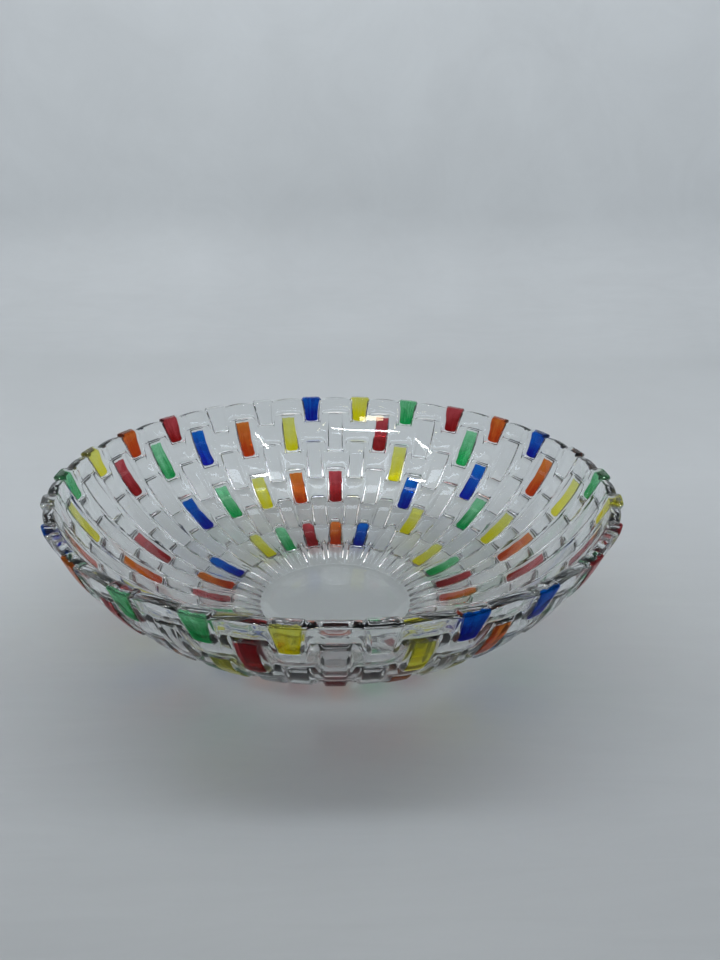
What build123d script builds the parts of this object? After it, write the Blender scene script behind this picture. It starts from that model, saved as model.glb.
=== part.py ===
from build123d import *
import os
from math import acos, asin, atan2, cos, degrees, hypot, radians, sin

# A pressed clear glass bowl with a basket weave on its outside. Twenty-six rows of
# raised upright blocks (the straps) cross six level bands, and the two are staggered
# by half a pitch from one tier to the next. Chosen straps carry translucent enamel.
# Millimetres. The origin is the centre of the flat base, +Z up.

# Overall sizes
rim_radius = 150.0        # to the outer corner of the strap heads at the rim
bowl_height = 85.0        # base to the top of the strap heads
base_radius = 44.0        # flat disc that the bowl stands on
weave_start_radius = 62.0  # where the basket weave begins, above the fluted ring
weave_start_height = 6.0
weave_arc_radius = 120.0  # bulge of the wall, in the section through the axis

# Glass thickness, measured inwards from the face of the straps
wall_thickness = 6.3
groove_depth = 2.6        # bottom of the groove between two tiers of bands
crest_depth = 1.4         # middle of a band
lip_depth = 1.7           # outer edge of the lip between two strap heads
floor_thickness = 6.5
floor_radius = 42.0       # flat part of the inside

# Rim
lip_drop = 2.0            # shoulders of the lip, below the strap heads
lip_crown = 1.0           # rise of the lip's rounding above its shoulders

# Weave
straps_per_tier = 26
tier_lengths = [16.6, 22.2, 21.2, 22.3, 20.7, 20.7]   # rim tier first; the arc is
# shared out in these proportions
strap_widths = [8.6, 8.8, 8.6, 8.4, 7.8, 7.2]         # rim tier first
strap_overlaps = [2.8, 2.8, 3.0, 1.6, 1.6, 1.6]       # at the lower edge of each tier,
# how far its straps run down past the edge and those of the next tier run up past it
strap_embed = 4.6         # depth of a strap block, from its face into the wall
strap_side_taper = 25.0   # degrees that the sides of a block lean out
head_width = 12.0         # flared head of a rim strap
head_length = 3.0
head_neck_length = 4.0    # below the head, over which it narrows to the strap
head_embed = 5.9          # depth of a head, just short of the inside face

# Fluted ring between the base and the weave
flutes_per_strap = 2
flute_radius = 3.0
flute_depth = 0.8
flute_clear = 0.7         # plain glass left at each end of a flute

# Enamel
enamel_thickness = 0.25
enamel_margin = 0.3       # bare glass left round each painted face

# Painted straps. A tier's straps are numbered clockwise seen from above, from the one
# at the back, +Y; number 0 of the rim tier and of every second tier below it stands
# half a pitch past the back.
painted_straps = {
    "rim": {
        "blue": [-9, -1, 4, 10, 11],
        "green": [-12, -11, -7, 1, 6],
        "red": [-4, 2, 8, 9],
        "yellow": [-13, -6, 0, 7],
        "orange": [-10, -5, 3],
    },
    "tier2": {
        "blue": [-3],
        "green": [-9, -4, 3, 9],
        "red": [-12, -10, -5, 1, 8],
        "yellow": [-7, -1, 6, 12],
        "orange": [-8, -2, 5, 11],
    },
    "tier3": {
        "blue": [3],
        "yellow": [-12, 1],
    },
    "tier4": {
        "blue": [-9, -4, 2, 10],
        "green": [-11, -3, 4, 9],
        "red": [-6, 0, 7, 13],
        "yellow": [-8, -2, 5, 11],
        "orange": [-10, -7, -1, 6, 12],
    },
    "tier5": {
        "yellow": [2],
    },
    "tier6": {
        "blue": [-10, -5, 1, 9],
        "green": [-8, -2, 5, 12],
        "red": [-12, -7, -1, 6, 11],
        "yellow": [-9, -3, 4, 10],
        "orange": [-11, -6, 0, 7, 13],
    },
}
tier_names = ["rim", "tier2", "tier3", "tier4", "tier5", "tier6"]

# The weave follows one arc in the section through the axis, from the top of the
# fluted ring to the rim. These four values place it.
chord_radial = rim_radius - weave_start_radius
chord_upright = bowl_height - weave_start_height
chord_length = hypot(chord_radial, chord_upright)
chord_angle = degrees(atan2(chord_upright, chord_radial))
half_sweep = degrees(asin(chord_length / 2 / weave_arc_radius))
start_angle = chord_angle - half_sweep
end_angle = chord_angle + half_sweep
centre_radius = weave_start_radius - weave_arc_radius * sin(radians(start_angle))
centre_height = weave_start_height + weave_arc_radius * cos(radians(start_angle))
strap_pitch = 360.0 / straps_per_tier
tier_count = len(tier_lengths)


def weave_point(slope, depth=0.0):
    """Radius and height of the point where the weave arc, moved inwards by depth,
    leans at slope degrees from the level."""
    reach = weave_arc_radius - depth
    return (
        centre_radius + reach * sin(radians(slope)),
        centre_height - reach * cos(radians(slope)),
    )


def slope_at_height(height, depth):
    """Slope of the weave arc, moved inwards by depth, where it is at this height."""
    return degrees(acos((centre_height - height) / (weave_arc_radius - depth)))


def tier_slope(tier, share=0.0):
    """Slope of the weave arc at a share of the way down a tier, from its upper edge.
    Tier 0 is the rim's, and the foot is the upper edge of a tier past the last."""
    passed = sum(tier_lengths[:tier])
    if share:
        passed += share * tier_lengths[tier]
    return end_angle - (end_angle - start_angle) * passed / sum(tier_lengths)


def glass_shell():
    """The bowl without its straps: a flat base, a plain cone for the flutes, six
    convex bands, a rounded lip and a smooth inside."""
    shoulder = bowl_height - lip_drop
    lip_outer = weave_point(slope_at_height(shoulder, lip_depth), lip_depth)
    inner_top_slope = slope_at_height(shoulder, wall_thickness)
    lip_inner = weave_point(inner_top_slope, wall_thickness)
    lip_middle = ((lip_outer[0] + lip_inner[0]) / 2, shoulder + lip_crown)

    edges = [Line((0, 0), (base_radius, 0))]
    foot = weave_point(start_angle, groove_depth)
    edges.append(Line((base_radius, 0), foot))
    below = foot
    for tier in reversed(range(tier_count)):
        middle = weave_point(tier_slope(tier, 0.5), crest_depth)
        above = lip_outer if tier == 0 else weave_point(tier_slope(tier), groove_depth)
        edges.append(ThreePointArc(below, middle, above))
        below = above
    edges.append(ThreePointArc(lip_outer, lip_middle, lip_inner))
    inner_middle = weave_point((inner_top_slope + start_angle) / 2, wall_thickness)
    inner_foot = weave_point(start_angle, wall_thickness)
    edges.append(ThreePointArc(lip_inner, inner_middle, inner_foot))
    edges.append(Line(inner_foot, (floor_radius, floor_thickness)))
    edges.append(Line((floor_radius, floor_thickness), (0, floor_thickness)))
    edges.append(Line((0, floor_thickness), (0, 0)))
    section = Plane.XZ * make_face(edges)
    return revolve(section, Axis.Z, 360)


def flute():
    """One groove-cutting rod, lying along the cone under the fluted ring at +X."""
    foot = weave_point(start_angle, groove_depth)
    run = foot[0] - base_radius
    slope = degrees(atan2(foot[1], run))
    length = hypot(run, foot[1]) - 2 * flute_clear
    sink = flute_radius - flute_depth
    along = (cos(radians(slope)), 0, sin(radians(slope)))
    start = (
        base_radius + flute_clear * along[0] + sink * along[2],
        0,
        flute_clear * along[2] - sink * along[0],
    )
    rod = extrude(Plane(origin=start, z_dir=along) * Circle(flute_radius), length)
    return rod


def strap_plane(tier):
    """Plane of a strap's outer face at +X: local X across it, local Y up it and
    local Z out of the glass. It passes through the tier's two edges on the weave."""
    low = weave_point(tier_slope(tier + 1))
    high = weave_point(tier_slope(tier))
    rise = degrees(atan2(high[1] - low[1], high[0] - low[0]))
    centre = ((low[0] + high[0]) / 2, 0, (low[1] + high[1]) / 2)
    outwards = (sin(radians(rise)), 0, -cos(radians(rise)))
    return Plane(origin=centre, x_dir=(0, 1, 0), z_dir=outwards)


def strap_half_length(tier):
    """Half the distance between a tier's two edges, along the strap's face."""
    low = weave_point(tier_slope(tier + 1))
    high = weave_point(tier_slope(tier))
    return hypot(high[0] - low[0], high[1] - low[1]) / 2


def strap_outline(tier, margin=0.0):
    """Outline of a strap's face in its own plane, drawn in by margin all round."""
    half = strap_widths[tier] / 2 - margin
    reach = strap_half_length(tier)
    bottom = -reach - strap_overlaps[tier] + margin
    if tier > 0:
        top = reach + strap_overlaps[tier - 1] - margin
        return Polyline((-half, bottom), (half, bottom), (half, top), (-half, top), close=True)
    head = head_width / 2 - margin
    top = reach - margin
    shoulder = reach - head_length
    neck = shoulder - head_neck_length
    return Polyline(
        (-half, bottom),
        (half, bottom),
        (half, neck),
        (head, shoulder),
        (head, top),
        (-head, top),
        (-head, shoulder),
        (-half, neck),
        close=True,
    )


def strap_face(tier, margin=0.0):
    """A strap's outer face, in place at +X."""
    return strap_plane(tier) * make_face(strap_outline(tier, margin))


def strap_block(tier):
    """One raised strap at +X, from its face into the wall, with leaning sides. A rim
    strap also has the head that caps the lip."""
    block = extrude(strap_face(tier), -strap_embed, taper=-strap_side_taper)
    if tier == 0:
        reach = strap_half_length(tier)
        crown = Rectangle(head_width, head_length, align=(Align.CENTER, Align.MAX))
        cap = strap_plane(tier) * Pos(0, reach, 0) * crown
        block = block + extrude(cap, -head_embed)
    keep = Cylinder(2 * rim_radius, bowl_height, align=(Align.CENTER, Align.CENTER, Align.MIN))
    return block & keep


def enamel_skin(tier):
    """The coat of enamel on a strap at +X."""
    return extrude(strap_face(tier, enamel_margin), enamel_thickness)


def strap_turn(tier, number):
    """Turn about Z that takes a piece from +X to this strap of this tier."""
    offset = 0.5 if tier % 2 == 0 else 0.0
    return Rot(0, 0, 90 - (number + offset) * strap_pitch)


def glass_bowl():
    """The whole pressed bowl as one piece of glass."""
    straps = []
    for tier in range(tier_count):
        block = strap_block(tier)
        for number in range(straps_per_tier):
            straps.append(strap_turn(tier, number) * block)
    flutes = []
    flute_count = flutes_per_strap * straps_per_tier
    rod = flute()
    for number in range(flute_count):
        flutes.append(Rot(0, 0, 360.0 * (number + 0.5) / flute_count) * rod)
    shell = glass_shell() - flutes
    return shell + straps


def enamel_coats(tier, numbers):
    """All the coats of one colour on one tier, as a group of separate solids."""
    skin = enamel_skin(tier)
    return Compound([strap_turn(tier, number) * skin for number in numbers])


def main():
    os.makedirs("parts", exist_ok=True)
    export_step(glass_bowl(), "parts/glass_bowl.step")
    for tier, tier_name in enumerate(tier_names):
        for colour, numbers in painted_straps[tier_name].items():
            coats = enamel_coats(tier, numbers)
            export_step(coats, "parts/" + tier_name + "_" + colour + "_enamel.step")


main()
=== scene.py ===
"""Looks for a pressed clear glass bowl with a painted basket weave.

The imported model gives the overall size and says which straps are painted. This file
makes the glass again as one finely moulded surface, makes every coat of enamel as its
own thin film, and sets a plain pale stage. Everything is in metres, +Z up, with the
centre of the flat base at the origin.
"""

import math

import bpy
import numpy as np
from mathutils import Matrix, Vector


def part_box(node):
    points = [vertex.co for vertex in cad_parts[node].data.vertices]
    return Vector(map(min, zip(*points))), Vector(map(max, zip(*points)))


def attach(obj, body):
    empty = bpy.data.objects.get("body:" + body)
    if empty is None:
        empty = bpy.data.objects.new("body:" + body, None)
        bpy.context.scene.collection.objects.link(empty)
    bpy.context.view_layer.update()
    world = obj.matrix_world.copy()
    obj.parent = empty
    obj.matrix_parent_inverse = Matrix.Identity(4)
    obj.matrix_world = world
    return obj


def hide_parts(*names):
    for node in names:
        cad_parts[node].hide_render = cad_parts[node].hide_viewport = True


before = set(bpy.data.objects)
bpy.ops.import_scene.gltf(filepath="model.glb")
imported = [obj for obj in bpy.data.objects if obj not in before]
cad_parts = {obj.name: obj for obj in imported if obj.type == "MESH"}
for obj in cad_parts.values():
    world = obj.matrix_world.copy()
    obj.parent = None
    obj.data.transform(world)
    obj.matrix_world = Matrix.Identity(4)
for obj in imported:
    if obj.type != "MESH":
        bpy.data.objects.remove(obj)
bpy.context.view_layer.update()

bl_info = {
    "name": "Painted Basket-Weave Glass Bowl",
    "version": (1, 0, 0),
    "blender": (4, 5, 0),
    "location": "View3D > Sidebar > Glass Bowl",
    "description": "Pressed clear glass bowl with coloured enamel on its woven straps",
    "category": "Object",
}

MM = 0.001
FRAME_SIDE = 36.0  # long side of the camera's frame, in millimetres
BODY = "root"
GLASS_NODE = "glass_bowl"
TIERS = 6
BOWL_LOW, BOWL_HIGH = (np.array(corner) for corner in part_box(GLASS_NODE))
BOWL_HEIGHT = float(BOWL_HIGH[2] - BOWL_LOW[2])
RIM_RADIUS = float(BOWL_HIGH[0] - BOWL_LOW[0]) / 2
EXPORT_FLOOR = float(BOWL_LOW[2])


# ---------------------------------------------------------------- settings


def colour_property(name, description, default):
    """A colour setting."""
    return bpy.props.FloatVectorProperty(
        name=name,
        description=description,
        default=default,
        size=3,
        min=0.0,
        max=1.0,
        subtype="COLOR",
    )


def length_property(name, description, millimetres):
    """A length setting, with its default given in millimetres."""
    return bpy.props.FloatProperty(
        name=name,
        description=description,
        default=millimetres * MM,
        unit="LENGTH",
    )


def tier_lengths_property(name, description, millimetres):
    """One length setting for each tier, rim tier first, given in millimetres."""
    return bpy.props.FloatVectorProperty(
        name=name,
        description=description,
        default=tuple(value * MM for value in millimetres),
        size=len(millimetres),
        unit="LENGTH",
    )


class BowlGlassSettings(bpy.types.PropertyGroup):
    """Sizes of the pressed glass and its tint."""

    straps: bpy.props.IntProperty(
        name="Straps",
        description="Raised upright straps in each tier",
        default=26,
        min=3,
    )
    foot_radius: length_property("Foot", "Radius of the flat disc that the bowl stands on", 44.0)
    weave_radius: length_property("Weave radius", "Radius at which the weave begins", 62.0)
    weave_height: length_property("Weave height", "Height at which the weave begins", 6.0)
    wall_arc: length_property("Wall arc", "Radius of the arc that the wall follows", 120.0)
    wall: length_property("Wall", "Thickness of the glass at a strap", 6.3)
    floor: length_property("Floor", "Thickness of the glass over the flat base", 6.5)
    floor_radius: length_property("Floor radius", "Radius at which the inside turns up", 42.0)
    tiers: tier_lengths_property(
        "Tiers",
        "Length of each tier down the wall; the arc is shared out in these proportions",
        (16.6, 22.2, 21.2, 22.3, 20.7, 20.7),
    )
    laps: tier_lengths_property(
        "Laps",
        "How far the straps of each tier run past its lower edge, and those below past it",
        (3.2, 3.6, 3.7, 2.3, 2.1, 1.7),
    )
    faces: tier_lengths_property(
        "Strap faces",
        "Width of the flat face of each tier's straps",
        (8.0, 8.4, 8.4, 8.2, 7.6, 7.0),
    )
    head: length_property("Head", "Width of the flared head of a rim strap", 11.6)
    side: length_property("Strap side", "Width of the sloping side of a strap", 1.8)
    crest: length_property("Band crest", "Depth of a band's crown below the straps", 0.9)
    groove: length_property("Groove", "Depth of the groove between two bands", 2.4)
    dive: length_property("Band dive", "How much deeper a band lies beside a strap", 0.7)
    clear: colour_property("Glass", "Tint of the clear glass", (0.97, 0.985, 0.98))


class EnamelSettings(bpy.types.PropertyGroup):
    """The thickness of the enamel, and its colours where the coat is thin and deep."""

    film: length_property("Film", "Half thickness of a coat of enamel", 0.12)
    blue_thin: colour_property("Thin blue", "Blue enamel in a thin coat", (0.002, 0.19, 0.78))
    blue_deep: colour_property("Deep blue", "Blue enamel in a deep coat", (0.0, 0.001, 0.40))
    green_thin: colour_property("Thin green", "Green enamel in a thin coat", (0.34, 0.86, 0.50))
    green_deep: colour_property("Deep green", "Green enamel in a deep coat", (0.002, 0.46, 0.10))
    red_thin: colour_property("Thin red", "Red enamel in a thin coat", (0.70, 0.10, 0.12))
    red_deep: colour_property("Deep red", "Red enamel in a deep coat", (0.36, 0.002, 0.002))
    yellow_thin: colour_property("Thin yellow", "Yellow enamel in a thin coat", (0.93, 0.94, 0.27))
    yellow_deep: colour_property("Deep yellow", "Yellow enamel in a deep coat", (0.95, 0.86, 0.0))
    orange_thin: colour_property("Thin orange", "Orange enamel in a thin coat", (0.92, 0.27, 0.04))
    orange_deep: colour_property("Deep orange", "Orange enamel in a deep coat", (0.66, 0.05, 0.0))


class StageSettings(bpy.types.PropertyGroup):
    """Floor, backdrop, light and camera."""

    board: colour_property("Board", "Colour of the floor and backdrop", (0.60, 0.62, 0.62))
    room: colour_property("Room", "Colour of the even light in the room", (0.84, 0.90, 1.0))
    room_strength: bpy.props.FloatProperty(
        name="Room strength",
        description="Strength of the even light in the room",
        default=0.13,
        min=0.0,
    )
    wall_place: length_property("Wall", "Distance of the backdrop's wall behind the axis", 800)
    wall_bend: length_property("Bend", "Radius of the bend from floor to wall", 190)
    lens: bpy.props.FloatProperty(
        name="Lens",
        description="Focal length in millimetres on a 36 mm frame's long side",
        default=27.75,
        min=1.0,
    )
    distance: length_property("Camera distance", "Level distance from the bowl's axis", 373.6)
    height: length_property("Camera height", "Height of the camera above the rim", 149.55)
    pitch: bpy.props.FloatProperty(
        name="Camera pitch",
        description="How far the camera looks down",
        default=math.radians(22.44),
        unit="ROTATION",
    )
    yaw: bpy.props.FloatProperty(
        name="Camera yaw",
        description="How far the camera looks to the right of the bowl's axis",
        default=math.radians(2.055),
        unit="ROTATION",
    )
    roll: bpy.props.FloatProperty(
        name="Camera roll",
        description="How far the camera leans",
        default=math.radians(0.765),
        unit="ROTATION",
    )


# ---------------------------------------------------------------- shapes


def smooth(value):
    """Smooth step: 0 below 0, 1 above 1, and 3t^2 - 2t^3 between."""
    t = np.clip(value, 0.0, 1.0)
    return t * t * (3.0 - 2.0 * t)


def blend(low, high, share):
    """Straight mix of low and high."""
    return low * (1.0 - share) + high * share


class Weave:
    """The wall of the bowl as a function of two parameters.

    The row parameter is 0 at the rim, a whole number at each groove between two tiers
    and 6 at the foot of the weave; from 0 to -1 it goes over the lip to the inside. The
    turn parameter counts straps clockwise from the back, +Y.
    """

    head_flare = (-2.0 * MM, 16.0 * MM)  # the head narrows to the strap over this stretch
    lip_round = 1.5 * MM                # height kept free for the lip's rounding
    lip_fill = 0.9                      # share of that height that the rounding takes up
    lip_power = 2.6                     # how square the rounding is
    lip_rows = 0.6                      # rows over which the lip's own line fades out
    lip_depth = 1.2 * MM                # the lip's outer edge between heads, below them
    lip_dip = 2.0 * MM                  # drop of the lip right beside a head
    lip_sag = 0.7 * MM                  # drop of the lip half way between two heads
    band_power = 5.0                    # how square a band's crown is
    swell = 0.35 * MM                   # a band stands out where it hides a strap
    swell_half = 4.6 * MM               # over this distance to either side,
    swell_fade = 1.6 * MM               # and falls back over this one
    dive_reach = 2.5 * MM               # a band's dive fades over this distance
    hook = 2.8 * MM                     # a groove steps up over this stretch,
    hook_place = 0.9 * MM               # with its middle this far from a strap's side,
    hook_groove = 0.3                   # and keeps this share of its depth there
    painted = (                         # rows at the two ends of each tier's coats
        (-0.30, 0.935),
        (1.085, 1.93),
        (2.05, 2.965),
        (3.085, 3.955),
        (4.06, 4.965),
        (5.05, 5.965),
    )
    top_rise = 0.03                     # share of a strap over which its top end rises
    low_round = 0.06                    # share over which its lower end falls away
    low_power = 2.5                     # how square its lower end is
    top_sink = 1.2 * MM                 # a strap's top end lies this much deeper,
    sink_share = 0.4                    # and comes level over this share of it
    squeeze = 0.55                      # how far unneeded columns of the mesh draw together
    fullest = 0.44                      # most of a pitch that the straps' columns take

    def __init__(self, glass):
        self.glass = glass
        across = RIM_RADIUS - glass.weave_radius
        upright = BOWL_HEIGHT - glass.weave_height
        chord = math.atan2(upright, across)
        sweep = math.asin(math.hypot(across, upright) / 2 / glass.wall_arc)
        self.start = chord - sweep
        self.end = chord + sweep
        self.centre_radius = glass.weave_radius - glass.wall_arc * math.sin(self.start)
        self.centre_height = glass.weave_height + glass.wall_arc * math.cos(self.start)
        self.length = (self.end - self.start) * glass.wall_arc
        shares = np.array(glass.tiers) / sum(glass.tiers)
        self.edges = np.concatenate([[0.0], np.cumsum(shares)]) * self.length
        self.half_faces = np.array(glass.faces) / 2

    def section(self, slope, depth):
        """Radius and height on the wall's arc, moved inwards by depth, at a slope."""
        reach = self.glass.wall_arc - depth
        radius = self.centre_radius + reach * np.sin(slope)
        return radius, self.centre_height - reach * np.cos(slope)

    def slope_at(self, height, depth):
        """Slope of the arc, moved inwards by depth, at a height."""
        return np.arccos((self.centre_height - height) / (self.glass.wall_arc - depth))

    def down(self, row):
        """Distance down the wall from the rim to a row."""
        return np.interp(row, np.arange(TIERS + 1), self.edges)

    def tier(self, row):
        """Tier that a row lies in, and the share of the way down it."""
        tier = np.clip(np.floor(row), 0, TIERS - 1)
        return tier, np.clip(row - tier, 0.0, 1.0)

    def pitch_length(self, row):
        """Length of one strap pitch round the wall at a row."""
        slope = self.end - self.down(row) / self.glass.wall_arc
        radius, _ = self.section(slope, 0.0)
        return 2 * math.pi * radius / self.glass.straps

    def half_width(self, row):
        """Half the width of a strap's face: the six tiers' widths, run smoothly from
        one to the next, and the flared head at the rim."""
        middles = np.arange(TIERS) + 0.5
        plain = np.interp(np.clip(row, 0, TIERS), middles, self.half_faces)
        low, high = self.head_flare
        flare = 1.0 - smooth((self.down(row) - low) / (high - low))
        return blend(plain, self.glass.head / 2, flare)

    def lateral(self, row, turn):
        """Distance round the wall from the middle of the nearest strap of this row's
        tier. Even tiers have their straps half a pitch on."""
        from_whole = np.abs((turn + 0.5) % 1.0 - 0.5)
        tier, _ = self.tier(row)
        distance = np.where(tier % 2 == 0, 0.5 - from_whole, from_whole)
        return distance * self.pitch_length(row)

    def band_depth(self, row, turn):
        """Depth of a band: a squarish crown across its tier, a little deeper beside a
        strap and a little raised half way between two, where it hides one. The groove
        at its edge grows shallow where it steps from one strap to the next."""
        glass = self.glass
        tier, share = self.tier(row)
        side = self.groove_side(tier + (share > 0.5), turn)
        groove = blend(glass.crest, glass.groove, blend(self.hook_groove, 1.0, side ** 2))
        bead = np.abs(2.0 * share - 1.0) ** self.band_power
        edge = np.where((tier == 0) & (share < 0.5), self.lip_depth, groove)
        beside = self.lateral(row, turn) - self.half_width(row) - glass.side
        middle = self.pitch_length(row) / 2 - self.lateral(row, turn)
        under = glass.dive * np.exp(-np.maximum(beside, 0.0) / self.dive_reach)
        swell = self.swell * (1.0 - smooth((middle - self.swell_half) / self.swell_fade + 0.5))
        return glass.crest + (edge - glass.crest) * bead + (under - swell) * (1.0 - bead)

    def strap_depth(self, row):
        """Depth of a strap's face: level along the middle, sunk and then turned down to
        the groove at its top end, and rounded off at its lower end."""
        groove = self.glass.groove
        tier, share = self.tier(row)
        sunk = self.top_sink * (1.0 - smooth(share / self.sink_share))
        top = np.where(tier == 0, 0.0, sunk)
        top_end = np.where(tier == 0, 0.0, 1.0 - smooth(share / self.top_rise))
        past = np.clip((share - 1.0 + self.low_round) / self.low_round, 0.0, 1.0)
        low_end = 1.0 - np.sqrt(1.0 - past ** self.low_power)
        return top + (groove - top) * np.maximum(top_end, low_end)

    def depth(self, row, turn):
        """Depth of the outer surface below the face of the straps: the strap's and the
        band's, mixed by a smooth step over the strap's sloping side."""
        beyond = self.lateral(row, turn) - self.half_width(row)
        share = smooth(beyond / self.glass.side)
        return blend(self.strap_depth(row), self.band_depth(row, turn), share)

    def lip_drop(self, turn):
        """How far the lip lies below the heads: not at all on a head, most right beside
        it, and less half way to the next."""
        zero = np.zeros_like(turn)
        beyond = self.lateral(zero, turn) - self.half_width(zero)
        room = self.pitch_length(0.0) / 2 - self.glass.head / 2
        arch = np.clip(1.0 - beyond / room, 0.0, 1.0) ** 2
        drop = self.lip_sag + (self.lip_dip - self.lip_sag) * arch
        return drop * smooth(beyond / self.glass.side)

    def groove_side(self, edge, turn):
        """1 where a groove runs below the straps of the tier above it, -1 all along the
        tops of those of the tier below, with a short step close beside each strap."""
        from_whole = np.abs((turn + 0.5) % 1.0 - 0.5)
        from_upper = np.where(edge % 2 == 1, 0.5 - from_whole, from_whole)
        beyond = from_upper * self.pitch_length(edge) - self.half_width(edge)
        beyond = beyond - self.glass.side - self.hook_place
        return 1.0 - 2.0 * smooth(beyond / self.hook + 0.5)

    def slope(self, row, turn):
        """Slope of the wall where the swaying rows lie: each groove runs down round the
        straps that end above it and up round those that begin below it, and the first
        row follows the lip."""
        laps = np.array([0.0, *self.glass.laps])
        tier, share = self.tier(row)
        above = laps[tier.astype(int)] * self.groove_side(tier, turn)
        below = laps[tier.astype(int) + 1] * self.groove_side(tier + 1, turn)
        sway = blend(above, below, smooth(share))
        near_rim = 1.0 - smooth(row / self.lip_rows)
        sway = sway + near_rim * (self.lip_drop(turn) + self.lip_round)
        place = np.minimum(self.down(row) + sway, self.length + self.glass.laps[-1])
        return self.end - place / self.glass.wall_arc

    def lip(self, share, turn):
        """Radius and height over the lip, from its outer edge at share 0 to its inner
        edge at share 1: half of a superellipse between the two edges."""
        zero = np.zeros_like(turn)
        outer_radius, outer_height = self.section(self.slope(zero, turn), self.depth(zero, turn))
        inner_slope = self.slope_at(outer_height, self.glass.wall)
        inner_radius, inner_height = self.section(inner_slope, self.glass.wall)
        angle = math.pi * (1.0 - share)
        flat = 2.0 / self.lip_power
        swing = np.sign(np.cos(angle)) * np.abs(np.cos(angle)) ** flat
        lift = np.abs(np.sin(angle)) ** flat
        middle = (outer_radius + inner_radius) / 2
        radius = middle - (outer_radius - inner_radius) / 2 * swing
        rise = self.lip_fill * self.lip_round * lift
        return radius, blend(outer_height, inner_height, share) + rise

    def outside(self, row, turn):
        """Points of the outer surface for arrays of rows and turns, lip included."""
        row, turn = np.broadcast_arrays(np.asarray(row, float), np.asarray(turn, float))
        wall_row = np.maximum(row, 0.0)
        radius, height = self.section(self.slope(wall_row, turn), self.depth(wall_row, turn))
        lip_radius, lip_height = self.lip(np.clip(-row, 0.0, 1.0), turn)
        radius = np.where(row < 0.0, lip_radius, radius)
        height = np.where(row < 0.0, lip_height, height)
        return self.around(radius, height, turn)

    def around(self, radius, height, turn):
        """Points at a radius and height, turned clockwise from +Y."""
        angle = 2 * math.pi * turn / self.glass.straps
        return np.stack([radius * np.sin(angle), radius * np.cos(angle), height], axis=-1)

    def inside(self, share, turn):
        """Points of the smooth inside, from the lip at share 0 to the edge of the floor
        at share 1: the wall's arc moved inwards by the full wall."""
        _, top_height = self.lip(np.ones_like(turn), turn)
        top = self.slope_at(top_height, self.glass.wall)
        radius, height = self.section(blend(top, self.start, share), self.glass.wall)
        return self.around(radius, height, turn)

    def columns(self, row):
        """Turns of the mesh's columns for each row, over one pitch.

        Columns gather at both edges of the straps of this tier and keep to the edges'
        real width, so the straps' sides stay crisp. The columns of the other tiers'
        straps draw together where they aren't needed, and all of them where the wall
        is narrow.
        """
        face = np.array([0.0, 0.55, 0.9, 1.0, 1.0, 1.0, 1.0])
        fall = np.array([0.0, 0.0, 0.0, 0.07, 0.38, 0.74, 1.05])
        row = np.clip(np.asarray(row, float), 0.0, TIERS)[:, None]
        tier, share = self.tier(row)
        middle = np.where((tier == TIERS - 1) & (share > 0.5), 1.0, np.sin(math.pi * share) ** 2)
        squeeze = 1.0 - self.squeeze * middle
        reach = (self.half_width(row) * face + self.glass.side * fall) / self.pitch_length(row)
        near = reach * np.where(tier % 2 == 1, 1.0, squeeze)
        far = reach * np.where(tier % 2 == 0, 1.0, squeeze)
        fit = np.minimum(1.0, self.fullest / (near[:, -1:] + far[:, -1:]))
        whole = near * fit
        half = 0.5 - far * fit
        gap = half[:, -1:] - whole[:, -1:]
        between = whole[:, -1:] + gap * np.arange(1.0, 6.0) / 6.0
        first = np.concatenate([whole, between, half[:, ::-1]], axis=1)
        second = 1.0 - first[:, -2:0:-1]
        return np.concatenate([first, second], axis=1)


def grid_faces(rows, columns, first=0):
    """Corner numbers of the quads of a grid that closes on itself along its columns."""
    start = np.arange(rows - 1)[:, None] * columns + first
    here = np.arange(columns)[None, :]
    there = (here + 1) % columns
    quads = [start + here, start + columns + here, start + columns + there, start + there]
    return np.stack(quads, axis=-1).reshape(-1, 4)


def strip_faces(fine, coarse, columns, step):
    """Corner numbers of the triangles between a ring of a grid and a ring that keeps
    every step-th of its columns. fine and coarse are the rings' first corners."""
    here = np.arange(columns)
    there = (here + 1) % columns
    inner = here // step
    spread = np.stack([fine + here, coarse + inner, fine + there], axis=-1)
    last = here[step - 1::step]
    after = (inner[last] + 1) % (columns // step)
    close = np.stack([fine + there[last], coarse + inner[last], coarse + after], axis=-1)
    return np.concatenate([spread, close])


def fan_faces(ring_start, columns, pole):
    """Corner numbers of the triangles that close a ring of a grid to one point."""
    here = np.arange(columns)
    there = (here + 1) % columns
    return np.stack([ring_start + here, np.full(columns, pole), ring_start + there], axis=-1)


def make_object(name, points, quads, triangles=None, uv=None):
    """A smooth-shaded mesh object from arrays of points and corner numbers. uv holds a
    pair of numbers for each point."""
    loops = [quads.ravel()]
    sizes = [np.full(len(quads), 4, np.int32)]
    if triangles is not None:
        loops.append(triangles.ravel())
        sizes.append(np.full(len(triangles), 3, np.int32))
    corners = np.concatenate(loops).astype(np.int32)
    totals = np.concatenate(sizes)
    starts = np.concatenate([[0], np.cumsum(totals)[:-1]]).astype(np.int32)
    mesh = bpy.data.meshes.new(name)
    mesh.vertices.add(len(points))
    mesh.vertices.foreach_set("co", np.ascontiguousarray(points, np.float32).ravel())
    mesh.loops.add(len(corners))
    mesh.loops.foreach_set("vertex_index", corners)
    mesh.polygons.add(len(totals))
    mesh.polygons.foreach_set("loop_start", starts)
    mesh.polygons.foreach_set("use_smooth", np.ones(len(totals), bool))
    if uv is not None:
        layer = mesh.uv_layers.new(name="brush")
        layer.data.foreach_set("uv", np.ascontiguousarray(uv[corners], np.float32).ravel())
    mesh.update(calc_edges=True)
    mesh.validate()
    made = bpy.data.objects.new(name, mesh)
    bpy.context.scene.collection.objects.link(made)
    return made


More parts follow.
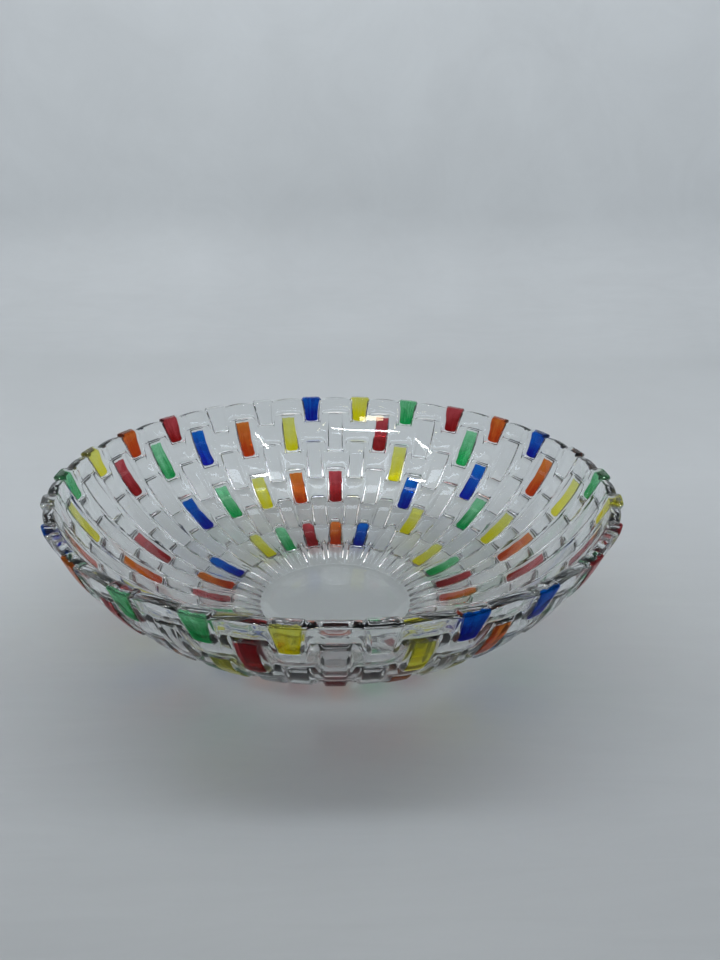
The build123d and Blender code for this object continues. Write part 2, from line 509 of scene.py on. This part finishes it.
def fluted_ring(weave, foot, turns):
    """Rings from the flat disc out to the foot of the weave: a cone, with hollow flutes
    two to a strap that are deepest half way. foot holds the points of the weave's foot."""
    flute_depth = 1.3 * MM
    shares = np.array([0.0, 0.05, 0.16, 0.34, 0.56, 0.76, 0.9])[:, None]
    foot_radius = np.hypot(foot[:, 0], foot[:, 1])[None, :]
    wave = np.abs(np.sin(2 * math.pi * turns))[None, :]
    hollow = flute_depth * wave * smooth(shares / 0.2) * smooth((1.0 - shares) / 0.2)
    radius = blend(weave.glass.foot_radius, foot_radius, shares)
    height = blend(0.0, foot[:, 2][None, :], shares) + hollow
    return weave.around(radius, height, turns[None, :])


def floor_rings(weave, turns):
    """Rings from the inside's lower edge in over the floor: a straight slope, a rounded
    turn and the level middle. The turn is a parabola that meets both."""
    glass = weave.glass
    turn_in = 8.0 * MM
    edge_radius, edge_height = weave.section(weave.start, glass.wall)
    slope_radii = np.linspace(edge_radius, glass.floor_radius + turn_in, 4)[1:]
    turn_radii = glass.floor_radius + np.array([0.5, 0.0, -0.5, -1.0]) * turn_in
    level_radii = np.array([22.0, 9.0]) * MM
    radii = np.concatenate([slope_radii, turn_radii, level_radii])
    gradient = (edge_height - glass.floor) / (edge_radius - glass.floor_radius)
    past = radii - glass.floor_radius
    rounded = gradient * np.clip(past + turn_in, 0.0, None) ** 2 / (4 * turn_in)
    heights = glass.floor + np.where(past > turn_in, gradient * past, rounded)
    level = np.ones((1, len(turns)))
    return weave.around(radii[:, None] * level, heights[:, None] * level, turns[None, :])


def glass_surface(weave):
    """Points and faces of the whole bowl: rings of a grid from the middle of the base,
    out over the flutes, up the woven wall, over the lip and down the smooth inside. The
    inside, the floor and the base are plain, so they keep every third column only."""
    glass = weave.glass
    tier_steps = np.array([0.0, 0.015, 0.035, 0.08, 0.17, 0.3, 0.5, 0.72, 0.87, 0.94, 0.968, 0.986])
    rows = (np.arange(TIERS)[:, None] + tier_steps[None, :]).ravel()
    rows = np.append(rows, float(TIERS))[::-1]
    turns = np.arange(glass.straps)[None, :, None] + weave.columns(rows)[:, None, :]
    turns = turns.reshape(len(rows), -1)
    foot_turns, rim_turns = turns[0], turns[-1]
    lip_shares = np.array([0.06, 0.13, 0.22, 0.34, 0.5, 0.66, 0.78, 0.87, 0.94])[:, None]
    inside_shares = np.linspace(0.0, 1.0, 19)[:, None]
    wall = weave.outside(rows[:, None], turns)
    ring = fluted_ring(weave, wall[0], foot_turns)
    lip = weave.outside(-lip_shares, rim_turns[None, :])
    inside_top = weave.inside(inside_shares[:1], rim_turns[None, :])
    fine = np.concatenate([ring, wall, lip, inside_top])

    step = 3
    inside_turns = rim_turns[::step]
    columns, plain_columns = len(rim_turns), len(inside_turns)
    below = inside_shares[1:]
    inside = weave.inside(below, np.broadcast_to(inside_turns, (len(below), plain_columns)))
    plain = np.concatenate([inside, floor_rings(weave, inside_turns)])
    base_radii = glass.foot_radius * np.array([0.3, 0.9, 0.985])[:, None]
    base_turns = foot_turns[None, ::step]
    base = weave.around(base_radii, np.zeros_like(base_radii * base_turns), base_turns)

    poles = np.array([[0.0, 0.0, 0.0], [0.0, 0.0, glass.floor]])
    points = np.concatenate([grid.reshape(-1, 3) for grid in (fine, plain, base)] + [poles])
    points[:, 2] += EXPORT_FLOOR
    plain_start = len(fine) * columns
    base_start = plain_start + len(plain) * plain_columns
    plain_end = base_start - plain_columns
    base_end = base_start + (len(base) - 1) * plain_columns
    quads = [
        grid_faces(len(fine), columns),
        grid_faces(len(plain), plain_columns, plain_start),
        grid_faces(len(base), plain_columns, base_start),
    ]
    triangles = [
        strip_faces(plain_start - columns, plain_start, columns, step),
        strip_faces(0, base_end, columns, step)[:, ::-1],
        fan_faces(plain_end, plain_columns, len(points) - 1),
        fan_faces(base_start, plain_columns, len(points) - 2)[:, ::-1],
    ]
    return points, np.concatenate(quads), np.concatenate(triangles)


def painted_straps(node, straps):
    """Which straps a node of enamel lies on, as turns from the back: its points fall in
    one cluster for each strap, and their angles are rounded to half a pitch."""
    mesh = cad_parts[node].data
    places = np.empty(len(mesh.vertices) * 3, np.float32)
    mesh.vertices.foreach_get("co", places)
    places = places.reshape(-1, 3)
    turns = np.arctan2(places[:, 0], places[:, 1]) / (2 * math.pi) * straps
    offset = 0.5 if tier_of(node) % 2 == 0 else 0.0
    return np.unique(np.round(turns - offset) % straps) + offset


def tier_of(node):
    """Tier of a node of enamel: rim is 0, tier2 is 1 and so on."""
    name = node.split("_")[0]
    return 0 if name == "rim" else int(name[4:]) - 1


def colour_of(node):
    """Colour of a node of enamel, the middle word of its name."""
    return node.split("_")[1]


def stroke(weave, tier, turn, along, across, random):
    """Rows and turns of one brush stroke over a strap's face. Its sides wander a little,
    its top end is ragged where the brush was put down and its lower end is round."""
    overlap = 0.35 * MM
    wander = 0.2 * MM
    rounding = 0.085
    phase = random.uniform(0.0, 2 * math.pi, 5)
    ragged = 0.5 * np.sin(5.3 * across + phase[3]) + 0.5 * np.sin(11.7 * across + phase[4])
    first, last = weave.painted[tier]
    top = first + random.uniform(-0.01, 0.012) + (0.012 if tier else 0.08) * ragged
    bottom = last + random.uniform(-0.015, 0.008)
    bottom = bottom - rounding * (1.0 - np.sqrt(1.0 - np.abs(across) ** 3.0 * 0.98))
    row = top + (bottom - top) * along
    edge = 0.14 * np.sin(7.0 * along + phase[0]) + 0.08 * np.sin(17.0 * along + phase[1])
    lean = wander * np.sin(3.0 * along + phase[2])
    half = weave.half_width(np.maximum(row, 0.0)) + overlap + edge * MM
    return row, turn + (across * half + lean) / weave.pitch_length(np.maximum(row, 0.0))


def closed_film(sheet, thick):
    """Points and faces of a sheet given a thickness to both sides along its normals, and
    closed round its border. The sheet is a grid of points."""
    run_down = np.gradient(sheet, axis=0)
    run_across = np.gradient(sheet, axis=1)
    normal = np.cross(run_across, run_down)
    normal /= np.linalg.norm(normal, axis=-1, keepdims=True)
    offset = normal * thick[..., None]
    points = np.concatenate([sheet + offset, sheet - offset]).reshape(-1, 3)
    number = np.arange(thick.size).reshape(thick.shape)
    corners = [number[:-1, :-1], number[:-1, 1:], number[1:, 1:], number[1:, :-1]]
    quads = np.stack(corners, axis=-1).reshape(-1, 4)
    sides = [number[0, :-1], number[:-1, -1], number[-1, :0:-1], number[:0:-1, 0]]
    border = np.concatenate(sides)
    after = np.roll(border, -1)
    walls = np.stack([after, border, border + thick.size, after + thick.size], axis=-1)
    return points, np.concatenate([quads, quads[:, ::-1] + thick.size, walls])


def coat_surface(weave, tier, turn, film, random):
    """Points, faces and brush coordinates of one coat of enamel, which thins out to a
    quarter at its edges."""
    along = np.linspace(0.0, 1.0, 34)[:, None]
    across = np.linspace(-1.0, 1.0, 13)[None, :]
    row, turns = stroke(weave, tier, turn, along, across, random)
    inset = np.minimum(1.0 - np.abs(across), 2.0 * np.minimum(along, 1.0 - along))
    thick = film * np.clip(inset * 5.0, 0.25, 1.0)
    points, faces = closed_film(weave.outside(row, turns), thick)
    shift = random.uniform(0.0, 40.0)
    brush = np.stack(np.broadcast_arrays(across + shift, along), axis=-1).reshape(-1, 2)
    return points, faces, np.concatenate([brush, brush])


def coats_surface(weave, node, film):
    """Points, faces and brush coordinates of all the coats of one node."""
    tier = tier_of(node)
    points, faces, brush = [], [], []
    total = 0
    for turn in painted_straps(node, weave.glass.straps):
        random = np.random.default_rng(int(turn * 2) + 101 * tier)
        coat, coat_faces, coat_brush = coat_surface(weave, tier, turn, film, random)
        points.append(coat)
        faces.append(coat_faces + total)
        brush.append(coat_brush)
        total += len(coat)
    points = np.concatenate(points)
    points[:, 2] += EXPORT_FLOOR
    return points, np.concatenate(faces), np.concatenate(brush)


# ---------------------------------------------------------------- materials


class Socket:
    """A number from a shader node, with arithmetic: each operation adds a Math node."""

    def __init__(self, shader, socket):
        self.shader = shader
        self.socket = socket

    def math(self, operation, *values):
        """The Math node for an operation on this number and others."""
        inputs = dict(enumerate([self, *values]))
        node = self.shader.add("ShaderNodeMath", {"operation": operation}, inputs)
        return Socket(self.shader, node.outputs[0])

    def __add__(self, other):
        return self.math("ADD", other)

    __radd__ = __add__

    def __mul__(self, other):
        return self.math("MULTIPLY", other)

    __rmul__ = __mul__

    def __sub__(self, other):
        return self.math("SUBTRACT", other)

    def __rsub__(self, other):
        return Socket(self.shader, self.shader.number(other)).math("SUBTRACT", self)


class Shader:
    """A material's node tree."""

    def __init__(self, name):
        self.material = bpy.data.materials.new(name)
        self.material.use_nodes = True
        self.tree = self.material.node_tree
        self.tree.nodes.clear()

    def add(self, kind, settings=None, inputs=None):
        """A node of a kind. Settings are set first, then the values or links of its
        inputs, which are named or numbered."""
        node = self.tree.nodes.new(kind)
        for name, value in (settings or {}).items():
            if name == "stops":
                self.set_stops(node.color_ramp, value)
            else:
                setattr(node, name, value)
        for name, value in (inputs or {}).items():
            target = node.inputs[name]
            if isinstance(value, Socket):
                self.tree.links.new(value.socket, target)
            elif isinstance(value, bpy.types.NodeSocket):
                self.tree.links.new(value, target)
            else:
                target.default_value = value
        return node

    def set_stops(self, ramp, stops):
        """Gives a colour ramp its stops, each a place and a grey or a colour."""
        while len(ramp.elements) < len(stops):
            ramp.elements.new(0.5)
        for element, (place, value) in zip(ramp.elements, stops):
            element.position = place
            colour = value if isinstance(value, tuple) else (value, value, value)
            element.color = (*colour, 1.0)

    def number(self, value):
        """The output of a Value node, for a number that starts an expression."""
        node = self.tree.nodes.new("ShaderNodeValue")
        node.outputs[0].default_value = value
        return node.outputs[0]

    def noise(self, place, scale, detail=2.0, roughness=0.5, distortion=0.0):
        """Noise from 0 to 1 at a place."""
        inputs = {
            "Vector": place,
            "Scale": scale,
            "Detail": detail,
            "Roughness": roughness,
            "Distortion": distortion,
        }
        node = self.add("ShaderNodeTexNoise", {"noise_dimensions": "3D"}, inputs)
        return Socket(self, node.outputs[0])

    def ramp(self, value, stops):
        """A number or colour picked from stops by a number."""
        node = self.add("ShaderNodeValToRGB", {"stops": stops}, {0: value})
        return node.outputs[0]

    def mix(self, share, low, high):
        """A mix of two colours."""
        settings = {"data_type": "RGBA"}
        node = self.add("ShaderNodeMix", settings, {0: share, 6: low, 7: high})
        return node.outputs[2]

    def stretched(self, place, scale):
        """A place scaled by its own amount along each axis."""
        return self.add("ShaderNodeMapping", None, {0: place, 3: scale}).outputs[0]

    def bump(self, height, strength, distance):
        """A normal bent by a height."""
        inputs = {"Strength": strength, "Distance": distance, "Height": height}
        return self.add("ShaderNodeBump", None, inputs).outputs[0]

    def finish(self, surface):
        """Ends the material with its surface shader."""
        self.add("ShaderNodeOutputMaterial", None, {"Surface": surface.outputs[0]})
        return self.material


def colour4(colour, gain=1.0):
    """A colour with alpha, brightened by gain and kept within 0 to 1."""
    return (*(min(1.0, channel * gain) for channel in colour), 1.0)


def glass_material(colour):
    """Clear pressed glass: fire-polished, with the faint long ripple of the mould and
    small patches that are a little less bright."""
    shader = Shader("clear_pressed_glass")
    place = shader.add("ShaderNodeTexCoord").outputs["Object"]
    ripple = shader.noise(place, 55.0, 2.0, 0.45)
    skin = shader.noise(place, 420.0, 3.0, 0.6)
    cloud = shader.noise(place, 18.0, 3.0, 0.55)
    height = ripple * 0.8 + skin * 0.08
    tint = shader.mix(cloud, colour4(colour), colour4(colour, 0.985))
    rough = shader.ramp(cloud, [(0.3, 0.0), (0.8, 0.025)])
    inputs = {
        "Base Color": tint,
        "Roughness": rough,
        "IOR": 1.52,
        "Transmission Weight": 1.0,
        "Normal": shader.bump(height, 0.35, 0.25 * MM),
    }
    return shader.finish(shader.add("ShaderNodeBsdfPrincipled", None, inputs))


def enamel_material(colour, thin, deep):
    """Translucent enamel: brushed down the strap, so it is streaked that way, thin and
    pale where the brush began and pooled and deep where it stopped."""
    shader = Shader(colour + "_enamel")
    brush = shader.add("ShaderNodeUVMap", {"uv_map": "brush"}).outputs[0]
    parts = shader.add("ShaderNodeSeparateXYZ", None, {0: brush})
    along = Socket(shader, parts.outputs[1])
    hairs = shader.noise(shader.stretched(brush, (4.5, 0.7, 1.0)), 1.0, 3.0, 0.55)
    pools = shader.noise(shader.stretched(brush, (0.9, 2.4, 1.0)), 1.0, 2.0, 0.5, 0.5)
    body = along * 0.75 + (hairs - 0.5) * 0.8 + (pools - 0.5) * 0.7 + 0.12
    tint = shader.ramp(body, [(0.12, tuple(thin)), (0.80, tuple(deep))])
    rough = shader.ramp(hairs, [(0.3, 0.05), (0.75, 0.16)])
    inputs = {
        "Base Color": tint,
        "Roughness": rough,
        "IOR": 1.08,
        "Transmission Weight": 0.9,
        "Normal": shader.bump(hairs, 0.3, 0.08 * MM),
    }
    return shader.finish(shader.add("ShaderNodeBsdfPrincipled", None, inputs))


def floor_material(colour):
    """Pale painted board: faint cloudy wear and long light scuffs."""
    shader = Shader("pale_board")
    place = shader.add("ShaderNodeTexCoord").outputs["Object"]
    cloud = shader.noise(place, 3.5, 4.0, 0.6, 0.4)
    scuff = shader.noise(shader.stretched(place, (9.0, 60.0, 9.0)), 1.0, 4.0, 0.7, 1.2)
    tone = cloud * 0.6 + scuff * 0.4
    tint = shader.ramp(tone, [(0.3, colour4(colour, 0.94)[:3]), (0.7, colour4(colour, 1.05)[:3])])
    rough = shader.ramp(scuff, [(0.3, 0.42), (0.7, 0.6)])
    inputs = {
        "Base Color": tint,
        "Roughness": rough,
        "Normal": shader.bump(scuff, 0.08, 0.3 * MM),
    }
    return shader.finish(shader.add("ShaderNodeBsdfPrincipled", None, inputs))


# ---------------------------------------------------------------- operators


class BOWL_OT_glass(bpy.types.Operator):
    """Makes the pressed glass in place of the plain solid"""

    bl_idname = "bowl.glass"
    bl_label = "Pressed Glass"

    def execute(self, context):
        glass = context.scene.bowl_glass
        points, quads, triangles = glass_surface(Weave(glass))
        made = make_object("pressed_glass", points, quads, triangles)
        made.data.materials.append(glass_material(tuple(glass.clear)))
        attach(made, BODY)
        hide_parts(GLASS_NODE)
        return {"FINISHED"}


class BOWL_OT_enamel(bpy.types.Operator):
    """Brushes the coats of enamel on the painted straps"""

    bl_idname = "bowl.enamel"
    bl_label = "Enamel Coats"

    def execute(self, context):
        weave = Weave(context.scene.bowl_glass)
        enamel = context.scene.bowl_enamel
        nodes = sorted(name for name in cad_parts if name.endswith("_enamel"))
        finishes = {}
        for node in nodes:
            colour = colour_of(node)
            if colour not in finishes:
                thin = getattr(enamel, colour + "_thin")
                deep = getattr(enamel, colour + "_deep")
                finishes[colour] = enamel_material(colour, thin, deep)
            points, faces, brush = coats_surface(weave, node, enamel.film)
            name = node.replace("_enamel", "_coats")
            made = make_object(name, points, faces, uv=brush)
            made.data.materials.append(finishes[colour])
            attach(made, BODY)
            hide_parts(node)
            colour + "_enamel"
        return {"FINISHED"}


def add_area(name, place, aim, size, power, colour, along=(1.0, 0.0, 0.0)):
    """A rectangular lamp at a place, turned towards its aim, with its first side as
    near to the direction along as that allows."""
    lamp = bpy.data.lights.new(name, "AREA")
    lamp.shape = "RECTANGLE"
    lamp.size, lamp.size_y = size
    lamp.energy = power
    lamp.color = colour
    made = bpy.data.objects.new(name, lamp)
    back = (Vector(place) - Vector(aim)).normalized()
    upward = back.cross(Vector(along)).normalized()
    matrix = Matrix((upward.cross(back), upward, back)).transposed().to_4x4()
    matrix.translation = place
    made.matrix_world = matrix
    bpy.context.scene.collection.objects.link(made)
    return made


def camera_matrix(stage):
    """Place and turn of the camera: on the front side of the bowl, looking back and
    down, with a little yaw and roll."""
    pitch, yaw, roll = stage.pitch, stage.yaw, stage.roll
    forward = np.array(
        [math.sin(yaw) * math.cos(pitch), math.cos(yaw) * math.cos(pitch), -math.sin(pitch)]
    )
    level = np.array([math.cos(yaw), -math.sin(yaw), 0.0])
    upward = np.cross(level, forward)
    right = level * math.cos(roll) + upward * math.sin(roll)
    above = upward * math.cos(roll) - level * math.sin(roll)
    place = np.array([0.0, -stage.distance, EXPORT_FLOOR + BOWL_HEIGHT + stage.height])
    matrix = np.eye(4)
    matrix[:3, 0], matrix[:3, 1], matrix[:3, 2], matrix[:3, 3] = right, above, -forward, place
    return Matrix(matrix.tolist())


def backdrop(wall_place, bend):
    """A floor that curves up into a wall behind the bowl: straight, a quarter round
    and straight again, in one sheet, a hair below the bowl's base."""
    half_width, front, bend_front, top, gap = 3.0, -3.0, -0.5, 0.47, 0.1 * MM
    angle = np.linspace(0.0, math.pi / 2, 24)
    curve = wall_place - bend + bend * np.sin(angle)
    depth = np.concatenate([[front, bend_front], curve, [wall_place]])
    height = np.concatenate([[0.0, 0.0], bend - bend * np.cos(angle), [top]])
    left = np.stack([np.full_like(depth, -half_width), depth, height], axis=-1)
    right = left * np.array([-1.0, 1.0, 1.0])
    points = np.concatenate([left, right])
    points[:, 2] += EXPORT_FLOOR - gap
    here = np.arange(len(depth) - 1)
    quads = np.stack([here, here + len(depth), here + len(depth) + 1, here + 1], axis=-1)
    return make_object("backdrop", points, quads)


class BOWL_OT_stage(bpy.types.Operator):
    """Sets the pale floor and backdrop, the soft light and the camera"""

    bl_idname = "bowl.stage"
    bl_label = "Stage"

    def execute(self, context):
        scene = context.scene
        stage = scene.bowl_stage
        sheet = backdrop(stage.wall_place, stage.wall_bend)
        sheet.data.materials.append(floor_material(tuple(stage.board)))

        world = bpy.data.worlds.new("room")
        world.use_nodes = True
        light = world.node_tree.nodes["Background"]
        light.inputs[0].default_value = (*stage.room, 1.0)
        light.inputs[1].default_value = stage.room_strength
        scene.world = world

        warm, plain, cool = (1.0, 0.9, 0.6), (1.0, 1.0, 0.97), (0.87, 0.92, 1.0)
        middle, card_aim = (0.0, 0.0, 0.05), (0.0, 0.0, 0.2)
        level, slant, fall, climb = (0, 1, 0), (0.957, -0.19, 0), (0.8, -0.6, 0), (0.8, 0.6, 0)
        broad = [
            add_area("overhead", (-0.1, 0.28, 1.1), (0.0, 0.2, 0.0), (2.4, 0.5), 4.3, plain),
            add_area("wash", (0.0, -0.06, 0.95), (0.0, 0.8, 0.25), (2.8, 0.25), 11.6, cool),
            add_area("card_left", (-0.9, 0.0, 0.25), card_aim, (1.2, 0.5), 0.6, cool, level),
            add_area("card_right", (0.9, 0.0, 0.25), card_aim, (1.2, 0.5), 0.6, cool, level),
        ]
        for lamp in broad:
            lamp.visible_glossy = False
        small = [
            add_area("tube", (-0.44, -1.23, 1.42), middle, (1.0, 0.026), 4.2, cool, slant),
            add_area("warm_lamp", (-0.56, -1.47, 1.27), middle, (0.36, 0.11), 1.8, warm),
            add_area("spark_1", (0.87, -0.76, 1.30), middle, (0.34, 0.022), 1.0, plain, fall),
            add_area("spark_2", (0.57, -0.13, 1.30), middle, (0.15, 0.03), 0.5, plain, climb),
            add_area("spark_3", (-1.0, -0.58, 1.30), middle, (0.34, 0.022), 1.0, plain, level),
            add_area("spark_4", (-0.62, -0.02, 1.30), middle, (0.15, 0.03), 0.5, plain, fall),
        ]
        for lamp in small:
            lamp.visible_diffuse = False

        lens = bpy.data.cameras.new("camera")
        lens.lens = stage.lens
        lens.sensor_width = FRAME_SIDE
        lens.clip_start = 0.01
        camera = bpy.data.objects.new("camera", lens)
        camera.matrix_world = camera_matrix(stage)
        scene.collection.objects.link(camera)
        scene.camera = camera
        scene.view_settings.view_transform = "Standard"
        return {"FINISHED"}


class BOWL_PT_panel(bpy.types.Panel):
    """Lists the bowl's operators and settings"""

    bl_label = "Glass Bowl"
    bl_idname = "BOWL_PT_panel"
    bl_space_type = "VIEW_3D"
    bl_region_type = "UI"
    bl_category = "Glass Bowl"

    def draw(self, context):
        layout = self.layout
        for settings in ("bowl_glass", "bowl_enamel", "bowl_stage"):
            group = getattr(context.scene, settings)
            column = layout.column(align=True)
            for name in group.__annotations__:
                column.prop(group, name)
        for operator in OPERATORS:
            layout.operator(operator.bl_idname)


OPERATORS = (BOWL_OT_glass, BOWL_OT_enamel, BOWL_OT_stage)
GROUPS = {
    "bowl_glass": BowlGlassSettings,
    "bowl_enamel": EnamelSettings,
    "bowl_stage": StageSettings,
}


def register():
    """Registers the classes and hangs the settings on the scene."""
    for group in (*GROUPS.values(), *OPERATORS, BOWL_PT_panel):
        bpy.utils.register_class(group)
    for name, group in GROUPS.items():
        setattr(bpy.types.Scene, name, bpy.props.PointerProperty(type=group))


def unregister():
    """Undoes register."""
    for name in GROUPS:
        delattr(bpy.types.Scene, name)
    for group in (BOWL_PT_panel, *reversed(OPERATORS), *reversed(GROUPS.values())):
        bpy.utils.unregister_class(group)


def main():
    """Makes every piece and the stage."""
    register()
    bpy.ops.bowl.glass()
    bpy.ops.bowl.enamel()
    bpy.ops.bowl.stage()


if __name__ == "__main__":
    main()
